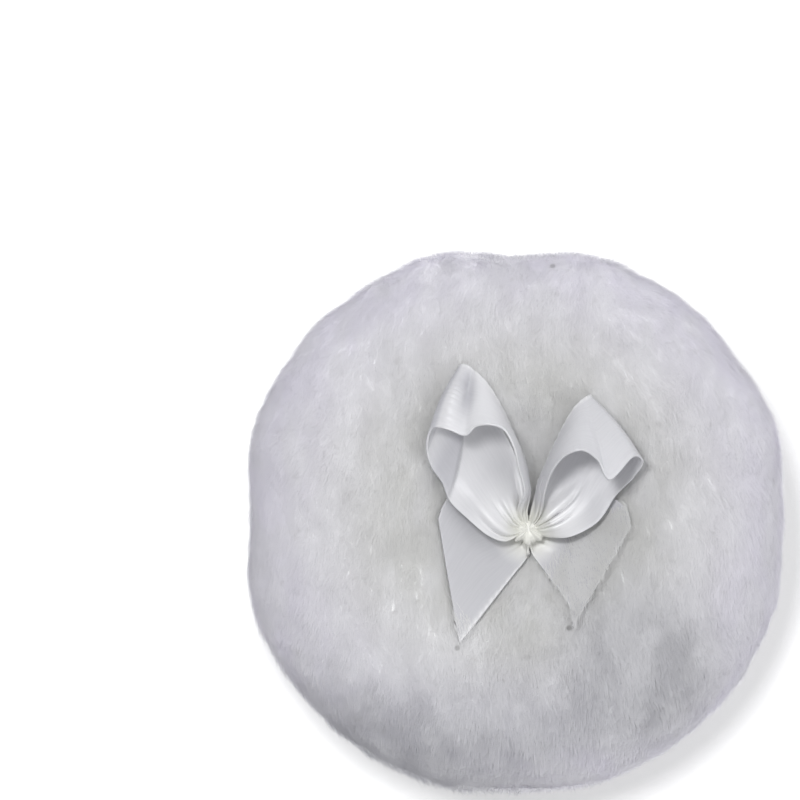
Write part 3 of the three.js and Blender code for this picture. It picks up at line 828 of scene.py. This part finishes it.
def ribbon_gloss_and_painted_light(body, grid):
    """The satin's painted light and shade at each place of a stretch, on the one side and on the other,
    which also sets its gloss.
    """
    rows, columns = grid.shape[:2]
    outer, inner = SIDE_GLOSS_AND_PAINTED_LIGHT[body]
    if body == "left_loop":
        row, across = np.linspace(0, len(LEFT_LOOP_SHARES) - 1, rows), np.linspace(0, 1, columns)
        # Painted shade in the left loop's creases and on its end where it turns down
        outer = outer * (1 - dent_shade(row, across, LEFT_LOOP_DENTS))
        outer = outer * (1 - smooth_step(*LEFT_END_SHADE_ROWS, row))[:, None]
        # Painted shade on the leaf
        inner = inner - leaf_side(row, across)
    distance = np.linalg.norm(grid - BOW, axis=-1)
    if "tail" in body:
        # Painted light on a tail near the knot
        tail_painted_light = TAIL_PAINTED_LIGHT * (1 - smooth_step(*TAIL_PAINTED_LIGHT_REACH, distance))
        return [np.maximum(gloss_and_painted_light, tail_painted_light) for gloss_and_painted_light in (outer, inner)]
    # Painted shade far from the knot on a loop's lighter side
    far_painted_shade = 1 - FAR_PAINTED_SHADE[body] * smooth_step(*FAR_PAINTED_SHADE_REACH, distance)
    return [gloss_and_painted_light * np.where(np.array(gloss_and_painted_light) > PAINTED_LIGHT_LEVEL, far_painted_shade, 1) for gloss_and_painted_light in (outer, inner)]


def ribbon(name, grid, glosses_and_painted_lights, selvedges, material):
    """A closed strip of cloth, half its thickness to each side of a grid, with thicker woven edges."""
    rows, columns = grid.shape[:2]
    normals = grid_normals(grid)
    across = np.linspace(0, 1, columns)
    edge = sum(
        share * np.exp(-((place * RIBBON_WIDTH / SELVEDGE_WIDTH) ** 2))
        for share, place in zip(selvedges, (across, 1 - across))
    )
    along = distances_along(grid.mean(axis=1))
    dots = 1 - SELVEDGE_DOTS + SELVEDGE_DOTS * np.cos(2 * np.pi * along / SELVEDGE_PITCH)
    stand = edge[None, :] * dots[:, None]
    out = normals * ((RIBBON_THICKNESS / 2) * (1 + SELVEDGE_STAND * stand))[..., None]
    points = np.stack([grid + out, grid - out]).reshape(-1, 3)
    face = quads(rows, columns)
    back = rows * columns
    number = np.arange(back).reshape(rows, columns)
    rim = np.concatenate([number[:, 0], number[-1, 1:], number[-2::-1, -1], number[0, -2:0:-1]])
    after = np.roll(rim, -1)
    wall = np.stack([rim, rim + back, after + back, after], axis=1)
    faces = np.concatenate([face, face[:, ::-1] + back, wall])
    piece = mesh_object(name, points, faces, material)
    u, v = np.meshgrid(along, across * RIBBON_WIDTH, indexing="ij")
    flat = np.stack([u, v, stand], axis=-1).reshape(-1, 3)
    put_attribute(piece.data, "weave", np.concatenate([flat, flat]))
    # Painted light and shade of each side, which also sets the gloss
    gloss_and_painted_light = [np.broadcast_to(values, (rows, columns)).ravel() for values in glosses_and_painted_lights]
    put_attribute(piece.data, "gloss_and_painted_light", np.concatenate(gloss_and_painted_light))
    return piece


# Materials


class Nodes:
    """The nodes of a material or of the world, made and linked by short calls."""

    def __init__(self, owner, output="OutputMaterial"):
        self.owner = owner
        owner.use_nodes = True
        self.tree = owner.node_tree
        self.tree.nodes.clear()
        self.output = self.add(output)

    def add(self, kind, *values, settings=(), **inputs):
        """A node with its settings, its first inputs in order and others by name."""
        node = self.tree.nodes.new("ShaderNode" + kind)
        for name, value in dict(settings).items():
            setattr(node, name, value)
        for n, value in enumerate(values):
            self.put(node, n, value)
        for name, value in inputs.items():
            self.put(node, name.replace("_", " "), value)
        return node

    def put(self, node, name, value):
        if isinstance(value, bpy.types.NodeSocket):
            self.tree.links.new(value, node.inputs[name])
        else:
            node.inputs[name].default_value = value

    def attribute(self, name, output="Fac"):
        return self.add("Attribute", settings={"attribute_name": name}).outputs[output]

    def place(self):
        return self.add("TexCoord").outputs["Object"]

    def maths(self, operation, *values):
        return self.add("Math", *values, settings={"operation": operation}).outputs[0]

    def vector_maths(self, operation, output, *values):
        return self.add("VectorMath", *values, settings={"operation": operation}).outputs[output]

    def distance(self, place, middle):
        return self.vector_maths("DISTANCE", "Value", place, middle)

    def scaled(self, place, factors):
        return self.vector_maths("MULTIPLY", "Vector", place, factors)

    def mapped(self, value, *limits):
        """The value from the first two limits to the last two, with soft ends."""
        settings = {"interpolation_type": "SMOOTHSTEP"}
        return self.add("MapRange", value, *limits, settings=settings).outputs[0]

    def mixed(self, share, first, second):
        node = self.add("Mix", share, settings={"data_type": "RGBA"})
        self.put(node, 6, first)
        self.put(node, 7, second)
        return node.outputs[2]

    def noise(self, place, size, detail):
        return self.add("TexNoise", Vector=place, Scale=1 / size, Detail=detail).outputs["Fac"]

    def bump(self, height, strength, distance):
        return self.add("Bump", Strength=strength, Distance=distance, Height=height).outputs[0]

    def mixed_shaders(self, share, first, second):
        return self.add("MixShader", share, first.outputs[0], second.outputs[0])

    def translucent(self, share, shader, colour):
        """A shader that lets a share of the light through, as thin cloth and hair do."""
        return self.mixed_shaders(share, shader, self.add("BsdfTranslucent", Color=colour))

    def principled(self, colour, roughness, **inputs):
        return self.add("BsdfPrincipled", Base_Color=colour, Roughness=roughness, **inputs)

    def finish(self, shader):
        self.tree.links.new(shader.outputs[0], self.output.inputs["Surface"])
        return self.owner


def linear(colour):
    """A colour as Blender's nodes take it, from the numbers 0 to 255 that a picture shows."""
    shown = [value / 255 for value in colour]
    return (*[s / 12.92 if s <= 0.04045 else ((s + 0.055) / 1.055) ** 2.4 for s in shown], 1.0)


def plush_material(name, strands):
    """White plush with painted light and shade: greyer round the bow, towards the front, at the lower
    right and deep in the pile, lighter at the rim, with painted shadows under the tails' tips. The strands
    let light through.
    """
    nodes = Nodes(bpy.data.materials.new(name))
    place = nodes.place()
    parts = nodes.add("SeparateXYZ", Vector=place)
    x, y = parts.outputs["X"], parts.outputs["Y"]
    squares = nodes.maths("ADD", nodes.maths("POWER", x, 2.0), nodes.maths("POWER", y, 2.0))
    radius = nodes.maths("SQRT", squares)
    # Painted shade in the middle round the bow and painted light at the rim
    rim = nodes.mapped(radius, *LIT_RIM_RADII, 0.0, 1.0)
    colour = nodes.mixed(rim, linear(PLUSH_SHADED_MIDDLE), linear(PLUSH_LIT_RIM))
    # Painted shade at the lower right front
    painted_shade = nodes.mapped(nodes.distance(place, PAINTED_SHADE_PLACE), *PAINTED_SHADE_RADII, PAINTED_SHADE_SHARE, 0.0)
    colour = nodes.mixed(painted_shade, colour, linear(PLUSH_PAINTED_SHADE))
    # Painted shade towards the front, faded out at the rim on the right
    front_shade = nodes.mapped(y, *FRONT_SHADE_PLACE, FRONT_SHADE_SHARE, 0.0)
    shade_fade_side = nodes.mapped(x, *FRONT_SHADE_FADE_SIDE, 1.0, 0.0)
    front_shade = nodes.maths("MULTIPLY", front_shade, nodes.mapped(radius, *FRONT_SHADE_FADE_RADII, 1.0, shade_fade_side))
    colour = nodes.mixed(front_shade, colour, linear(PLUSH_FRONT_SHADE))
    patches = nodes.noise(nodes.scaled(place, PATCH_STRETCH), PATCH_SIZE, 3.0)
    patches = nodes.maths("MULTIPLY", nodes.mapped(patches, 0.35, 0.65, 0.0, 1.0), PATCH_SHARE)
    colour = nodes.mixed(patches, colour, linear(PLUSH_PATCH))
    specks = nodes.mapped(nodes.noise(place, SPECK_SIZE, 2.0), 0.62, 0.75, 0.0, SPECK_SHARE)
    colour = nodes.mixed(specks, colour, linear(PLUSH_SPECK))
    flat = nodes.scaled(place, (1.0, 1.0, SPOT_HEIGHT_SHARE))
    # Painted shadows under the tails' tips, and a break in the pile near the seam
    for spot_x, spot_y, spot_z, spot_radius, spot_share in PARTING_AND_SHADOW_SPOTS:
        away = nodes.distance(flat, (spot_x, spot_y, spot_z * SPOT_HEIGHT_SHARE))
        spot = nodes.mapped(away, spot_radius * SPOT_CORE, spot_radius, spot_share, 0.0)
        colour = nodes.mixed(spot, colour, linear(PLUSH_PARTING_AND_SHADOW))
    # Painted shade deep in the pile, at the strands' roots and on the ground
    root_shade = nodes.mapped(nodes.attribute("along"), 0.0, 0.8, ROOT_SHADE_SHARE, 0.0) if strands else GROUND_SHADE_SHARE
    colour = nodes.mixed(root_shade, colour, linear(PLUSH_ROOT_SHADE))
    shader = nodes.principled(colour, 0.9, Specular_IOR_Level=0.15, Sheen_Weight=0.15, Sheen_Roughness=0.6)
    if strands:
        shader = nodes.translucent(0.6, shader, colour)
    else:
        nodes.put(shader, "Normal", nodes.bump(nodes.noise(place, GRAIN_SIZE, 4.0), 0.6, 0.3 * MM))
    return nodes.finish(shader)


def satin_material():
    """Satin weave with streaks along it, whose colour and gloss follow the painted light and shade that
    the mesh gives, with a painted highlight on its woven edges and painted warm light at the knot.
    """
    nodes = Nodes(bpy.data.materials.new("satin"))
    weave = nodes.attribute("weave", "Vector")
    parts = nodes.add("SeparateXYZ", Vector=weave)
    u, v, selvedge_highlight = (parts.outputs[axis] for axis in "XYZ")
    streaks = nodes.noise(nodes.scaled(weave, STREAK_STRETCH), STREAK_SIZE, 4.0)
    warp = nodes.maths("SINE", nodes.maths("MULTIPLY", v, 2 * math.pi / WARP_PITCH))
    weft = nodes.maths("SINE", nodes.maths("MULTIPLY", u, 2 * math.pi / WEFT_PITCH))
    height = nodes.maths("ADD", nodes.maths("MULTIPLY", warp, 0.5), nodes.maths("MULTIPLY", weft, 0.25))
    height = nodes.maths("ADD", height, nodes.maths("MULTIPLY", streaks, 1.5))
    # Painted light and shade from the mesh, which also sets the gloss
    gloss_and_painted_light = nodes.attribute("gloss_and_painted_light")
    light, dark = (
        nodes.mixed(gloss_and_painted_light, linear(most_shaded), linear(most_lit)) for most_shaded, most_lit in (SATIN_LIGHT, SATIN_DARK)
    )
    colour = nodes.mixed(nodes.mapped(streaks, 0.3, 0.7, 0.0, 0.5), light, dark)
    # A painted highlight on the woven edges, dotted as their weave
    selvedge_highlight = nodes.maths("MINIMUM", nodes.maths("MULTIPLY", selvedge_highlight, SELVEDGE_STAND), 1.0)
    colour = nodes.mixed(selvedge_highlight, colour, linear(SATIN_SELVEDGE_HIGHLIGHT))
    # Painted light on the gathers round the knot: brighter, with a warm tone
    warm_light = nodes.mapped(nodes.distance(nodes.place(), tuple(BOW)), *WARM_LIGHT_RADII, WARM_LIGHT_SHARE, 0.0)
    colour = nodes.mixed(warm_light, colour, linear(SATIN_WARM_LIGHT))
    shader = nodes.principled(
        colour, nodes.mapped(streaks, 0.3, 0.7, 0.4, 0.5), Metallic=nodes.maths("MULTIPLY", gloss_and_painted_light, 0.16),
        Specular_IOR_Level=0.6, Sheen_Weight=0.1, Sheen_Roughness=0.35,
        Normal=nodes.bump(height, 0.2, 0.02 * MM),
    )
    return nodes.finish(nodes.translucent(0.3, shader, colour))


def thread_material():
    nodes = Nodes(bpy.data.materials.new("thread"))
    twist = nodes.add("TexWave", Vector=nodes.place(), Scale=900.0, Distortion=2.0, Detail=2.0)
    twist = twist.outputs["Fac"]
    light, dark = (linear(colour) for colour in THREAD_COLOURS)
    colour = nodes.mixed(nodes.maths("MULTIPLY", twist, 0.5), light, dark)
    return nodes.finish(nodes.principled(colour, 0.6, Normal=nodes.bump(twist, 0.6, 0.05 * MM)))


def fibre_material():
    nodes = Nodes(bpy.data.materials.new("fibre"))
    tufts = nodes.noise(nodes.place(), TUFT_SIZE, 6.0)
    colour = nodes.mixed(tufts, *(linear(colour) for colour in FIBRE_COLOURS))
    return nodes.finish(nodes.principled(colour, 0.95, Normal=nodes.bump(tufts, 0.9, 0.4 * MM)))


# Stage


def floor():
    """A white floor that keeps the puff's shadow, with a painted soft round shadow under it as well."""
    nodes = Nodes(bpy.data.materials.new("floor"))
    path = nodes.add("LightPath")
    seen = nodes.maths("MAXIMUM", path.outputs["Is Camera Ray"], path.outputs["Is Glossy Ray"])
    seen = nodes.maths("MAXIMUM", seen, path.outputs["Is Transmission Ray"])
    lit = nodes.add("BsdfDiffuse", Color=(FLOOR_SHADE, FLOOR_SHADE, FLOOR_SHADE, 1))
    away = nodes.distance(nodes.place(), SHADOW_PLACE)
    painted_shadow = nodes.mapped(away, SHADOW_RADIUS - SHADOW_BLUR, SHADOW_RADIUS + SHADOW_BLUR, SHADOW_TINT, 1.0)
    shadowed = nodes.add("BsdfDiffuse", Color=nodes.maths("MULTIPLY", painted_shadow, FLOOR_SHADE))
    white = nodes.add("Emission", Strength=nodes.maths("MULTIPLY", painted_shadow, FLOOR_GLOW))
    both = nodes.add("AddShader", shadowed.outputs[0], white.outputs[0])
    material = nodes.finish(nodes.mixed_shaders(seen, lit, both))
    corners = np.array([(-1, -1, 0), (1, -1, 0), (1, 1, 0), (-1, 1, 0)]) * FLOOR_HALF
    mesh_object("floor", corners, np.array([[0, 1, 2, 3]]), material)


def sky():
    """A bright dome, seen as plain white by the camera alone."""
    nodes = Nodes(bpy.data.worlds.new("studio"), "OutputWorld")
    direction = nodes.add("TexCoord").outputs["Generated"]
    along = nodes.vector_maths("DOT_PRODUCT", "Value", direction, SKY_GRADIENT)
    level = nodes.maths("ADD", along, SKY_LEVEL)
    soft = nodes.add("Background", Color=SKY_COLOUR, Strength=level)
    shown = nodes.add("Background", Color=(1, 1, 1, 1))
    seen = nodes.add("LightPath").outputs["Is Camera Ray"]
    bpy.context.scene.world = nodes.finish(nodes.mixed_shaders(seen, soft, shown))


def lamps():
    key = bpy.data.lights.new("key", "AREA")
    key.shape = "DISK"
    key.size = KEY_SIZE
    key.energy = KEY_POWER
    aim(key, KEY_PLACE, KEY_PLACE - Vector(BOW)).visible_camera = False
    fill = bpy.data.lights.new("fill", "SUN")
    fill.angle = FILL_ANGLE
    fill.energy = FILL_POWER
    aim(fill, FILL_TOWARDS, FILL_TOWARDS)


def aim(data, place, back):
    """Puts a lamp or camera at a place, with its back in a direction."""
    piece = place_object(data.name, data)
    piece.location = place
    piece.rotation_mode = "QUATERNION"
    piece.rotation_quaternion = back.to_track_quat("Z", "Y")
    return piece


def camera():
    data = bpy.data.cameras.new("camera")
    data.lens = data.sensor_width * CAMERA_DISTANCE / VIEW_WIDTH
    data.clip_start = CAMERA_CLIP
    back = Vector((0, -math.cos(CAMERA_ELEVATION), math.sin(CAMERA_ELEVATION)))
    bpy.context.scene.camera = aim(data, AIM + back * CAMERA_DISTANCE, back)


# Putting it together


def dress_bow(satin):
    """The four stretches of ribbon, each with the name of the body that moves it."""
    made = []
    for body, look in STRETCHES.items():
        grid = ribbon_grid(**look)
        piece = ribbon(f"{body}_ribbon", grid, ribbon_gloss_and_painted_light(body, grid), SELVEDGES[body], satin)
        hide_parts(body)
        made.append((piece, body))
    return made


def knot_gather(satin):
    """The ribbon's gathered middle: pleats that radiate from where the thread draws them together."""
    rings, turns = GATHER_RINGS, GATHER_TURNS
    polar = np.linspace(GATHER_POLE, math.pi - GATHER_POLE, rings)[:, None]
    turn = np.linspace(0, 2 * np.pi, turns, endpoint=False)[None, :]
    random = np.random.default_rng(GATHER_SEED)
    fold = sum(np.cos(n * turn + random.uniform(0, 6)) / len(GATHER_PLEATS) for n in GATHER_PLEATS)
    ridge = np.sin(polar) ** GATHER_RIDGE_POWER * (1 - GATHER_RIDGE_SHARE + GATHER_RIDGE_SHARE * fold)
    across = np.sin(polar) ** GATHER_SIDE_POWER * (GATHER_RADIUS + GATHER_DEPTH * fold)
    rise = np.where(polar < math.pi / 2, GATHER_TOP, GATHER_BOTTOM)
    height = np.cos(polar) * rise + GATHER_DEPTH * ridge * np.cos(polar)
    waist = np.exp(-((across * np.cos(turn) / GATHER_GROOVE) ** 2))
    height = height - GATHER_GROOVE_DEPTH * waist * np.sign(np.cos(polar)) * np.abs(np.cos(polar)) ** 0.5
    grid = np.stack([
        BOW[0] + across * np.cos(turn) * GATHER_STRETCH,
        BOW[1] + across * np.sin(turn),
        BOW[2] + height + 0 * turn,
    ], axis=-1)
    points = np.concatenate([grid.reshape(-1, 3), grid[:1].mean(axis=1), grid[-1:].mean(axis=1)])
    top, bottom = rings * turns, rings * turns + 1
    last = (rings - 1) * turns
    faces = quads(rings, turns, closed_columns=True).tolist()
    beside = [(n, (n + 1) % turns) for n in range(turns)]
    faces += [(top, a, b) for a, b in beside]
    faces += [(bottom, last + b, last + a) for a, b in beside]
    mesh = bpy.data.meshes.new("bow_knot_gather")
    mesh.from_pydata(points.tolist(), [], faces)
    mesh.polygons.foreach_set("use_smooth", np.ones(len(mesh.polygons), bool))
    mesh.materials.append(satin)
    along, around = np.broadcast_arrays(across, GATHER_RADIUS * turn)
    flat = np.stack([along, around, 0 * along], axis=-1).reshape(-1, 3)
    put_attribute(mesh, "weave", np.concatenate([flat, np.zeros((2, 3))]))
    # The gathers get full painted light and gloss
    put_attribute(mesh, "gloss_and_painted_light", np.ones(len(points)))
    mesh.update()
    piece = place_object("bow_knot_gather", mesh)
    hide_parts("bow_knot")
    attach(piece, "bow")


def thread_piece(name, places, diameter, thread, node, body):
    """A round thread along a line of places, which stands for a node of the frame."""
    curve = bpy.data.curves.new(name, "CURVE")
    curve.dimensions = "3D"
    curve.bevel_depth = diameter / 2
    curve.bevel_resolution = 3
    curve.use_fill_caps = True
    spline = curve.splines.new("POLY")
    spline.points.add(len(places) - 1)
    for point, place in zip(spline.points, places):
        point.co = (*place, 1)
    curve.materials.append(thread)
    piece = place_object(name, curve)
    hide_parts(node)
    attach(piece, body)


def binding(thread):
    """The thread's few turns round the middle of the gathers, sunk in their groove."""
    share = np.linspace(0, 1, BINDING_TURN_STEPS * BINDING_TURNS + 1)
    turn = 2 * np.pi * BINDING_TURNS * share
    half_height = (GATHER_TOP + GATHER_BOTTOM) / 2 - BINDING_SUNK
    middle = BOW[2] + (GATHER_TOP - GATHER_BOTTOM) / 2
    places = np.stack([
        BOW[0] + BINDING_PITCH * BINDING_TURNS * (share - 0.5),
        BOW[1] + (GATHER_RADIUS + GATHER_DEPTH / 2) * np.cos(turn),
        middle + (half_height + GATHER_DEPTH / 2) * np.sin(turn),
    ], axis=1)
    thread_piece("binding_thread_turns", places, BINDING_DIAMETER, thread, "binding_thread", "bow")


def tied_knot(thread):
    """The anchor thread's knot under the puff: the thread passed round itself several times."""
    low, high = np.array(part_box("anchor_knot"))
    middle, half = (high + low) / 2, (high - low) / 2
    turn = np.linspace(0, 2 * np.pi * KNOT_TURNS, KNOT_TURN_STEPS * KNOT_TURNS)
    tilt = turn * (KNOT_TURNS + 1) / KNOT_TURNS
    out = 1 - KNOT_COIL + KNOT_COIL * np.cos(tilt)
    shape = np.stack([out * np.cos(turn), out * np.sin(turn), KNOT_FLATNESS * np.sin(tilt)], axis=1)
    places = middle + (1 - KNOT_THREAD) * shape * half
    thread_piece("anchor_knot_turns", places, 2 * KNOT_THREAD * half.min(), thread, "anchor_knot", "puff")


def bend_from_knot(piece):
    """Bakes the piece's place into its mesh."""
    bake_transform(piece)


def ribbon_tree(ribbons):
    """All the ribbons as one tree that a ray can be cast against."""
    points, faces = [], []
    for piece, _ in ribbons:
        first = len(points)
        points += [vertex.co.copy() for vertex in piece.data.vertices]
        faces += [[first + n for n in polygon.vertices] for polygon in piece.data.polygons]
    return BVHTree.FromPolygons(points, faces)


plush = plush_material("plush", strands=False)
plush_strands = plush_material("plush_strands", strands=True)
satin = satin_material()
thread = thread_material()
fibre = fibre_material()

camera()
floor()
sky()
lamps()
ribbons = dress_bow(satin)
tree = ribbon_tree(ribbons)

for node, side, rows, count, seed in COVERS:
    line = cover_line(side, rows)
    piece = cover(f"{node}_plush", line, side, plush)
    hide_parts(node)
    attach(piece, "puff")
    for strands, body in pile(f"{node}_pile", line, side, count, seed, plush_strands, tree):
        if body == "puff":
            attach(strands, body)
        else:
            bend_from_knot(strands)

for piece, body in ribbons:
    bend_from_knot(piece)
knot_gather(satin)
binding(thread)
tied_knot(thread)

for node in ("filling_pad", "rim_seam_thread", "closing_stitch_thread", "anchor_thread"):
    materials = frame["nodes"][node].data.materials
    materials.clear()
    materials.append(fibre if node == "filling_pad" else thread)

bpy.context.scene.view_settings.view_transform = "Standard"
